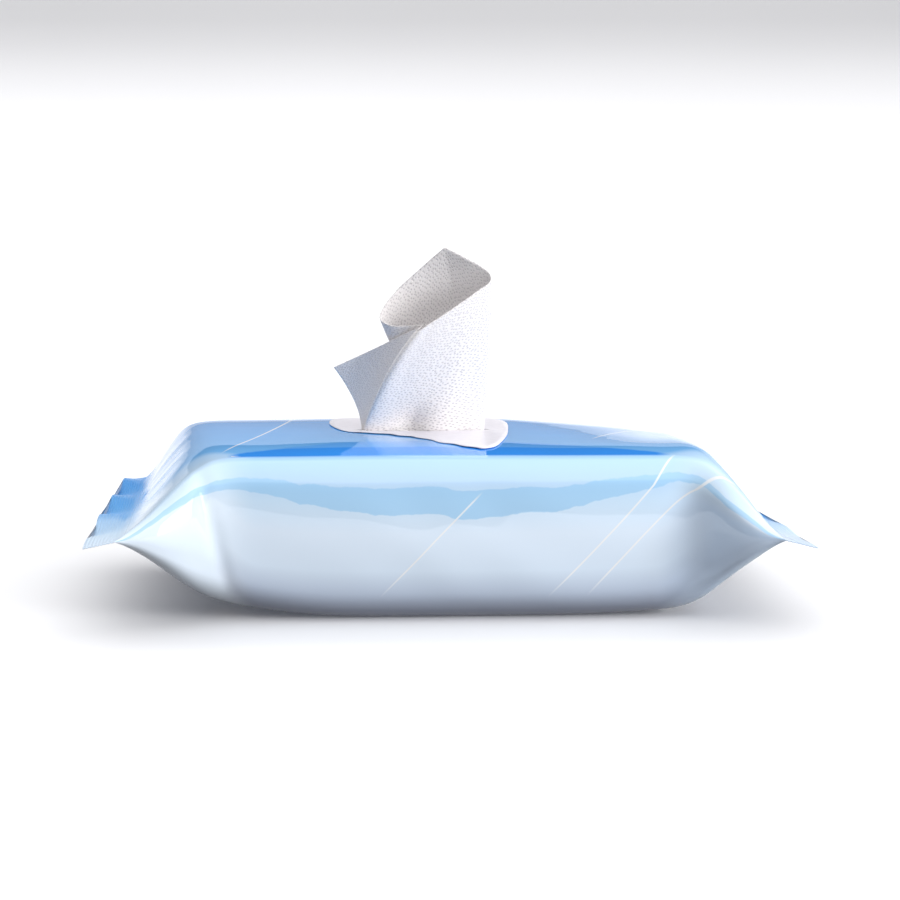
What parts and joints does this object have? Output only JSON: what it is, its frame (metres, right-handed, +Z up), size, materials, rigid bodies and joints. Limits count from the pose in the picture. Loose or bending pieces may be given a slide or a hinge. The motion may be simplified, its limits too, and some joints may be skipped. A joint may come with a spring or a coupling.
{
  "type": "wet wipes pack",
  "caption": "Soft film flow pack of folded wet wipes, flat-sealed at both ends, with one wipe drawn up through the slit in its top.",
  "frame": {"origin": "on the resting surface, under the middle of the bounding box", "axes": "+X along the pack from the left seal to the right seal, +Y towards the back, +Z up; the front is -Y"},
  "size_m": [0.2306, 0.15, 0.1162],
  "materials": {
    "printed_film": "gloss",
    "label_film": "satin",
    "nonwoven": "matte"
  },
  "bodies": {
    "root": {"film_wrap": "printed_film", "dispensing_label": "label_film", "drawn_wipe": "nonwoven", "folded_wipe_01": "nonwoven", "folded_wipe_02": "nonwoven", "folded_wipe_03": "nonwoven", "folded_wipe_04": "nonwoven", "folded_wipe_05": "nonwoven", "folded_wipe_06": "nonwoven", "folded_wipe_07": "nonwoven", "folded_wipe_08": "nonwoven", "folded_wipe_09": "nonwoven", "folded_wipe_10": "nonwoven", "folded_wipe_11": "nonwoven", "folded_wipe_12": "nonwoven", "folded_wipe_13": "nonwoven", "folded_wipe_14": "nonwoven", "folded_wipe_15": "nonwoven", "folded_wipe_16": "nonwoven", "folded_wipe_17": "nonwoven", "folded_wipe_18": "nonwoven", "folded_wipe_19": "nonwoven", "folded_wipe_20": "nonwoven", "folded_wipe_21": "nonwoven", "folded_wipe_22": "nonwoven", "folded_wipe_23": "nonwoven", "folded_wipe_24": "nonwoven", "folded_wipe_25": "nonwoven", "folded_wipe_26": "nonwoven", "folded_wipe_27": "nonwoven", "folded_wipe_28": "nonwoven", "folded_wipe_29": "nonwoven", "folded_wipe_30": "nonwoven", "folded_wipe_31": "nonwoven", "folded_wipe_32": "nonwoven", "folded_wipe_33": "nonwoven", "folded_wipe_34": "nonwoven", "folded_wipe_35": "nonwoven", "folded_wipe_36": "nonwoven", "folded_wipe_37": "nonwoven", "folded_wipe_38": "nonwoven", "folded_wipe_39": "nonwoven", "folded_wipe_40": "nonwoven", "folded_wipe_41": "nonwoven", "folded_wipe_42": "nonwoven", "folded_wipe_43": "nonwoven", "folded_wipe_44": "nonwoven", "folded_wipe_45": "nonwoven", "folded_wipe_46": "nonwoven", "folded_wipe_47": "nonwoven"}
  },
  "joints": []
}
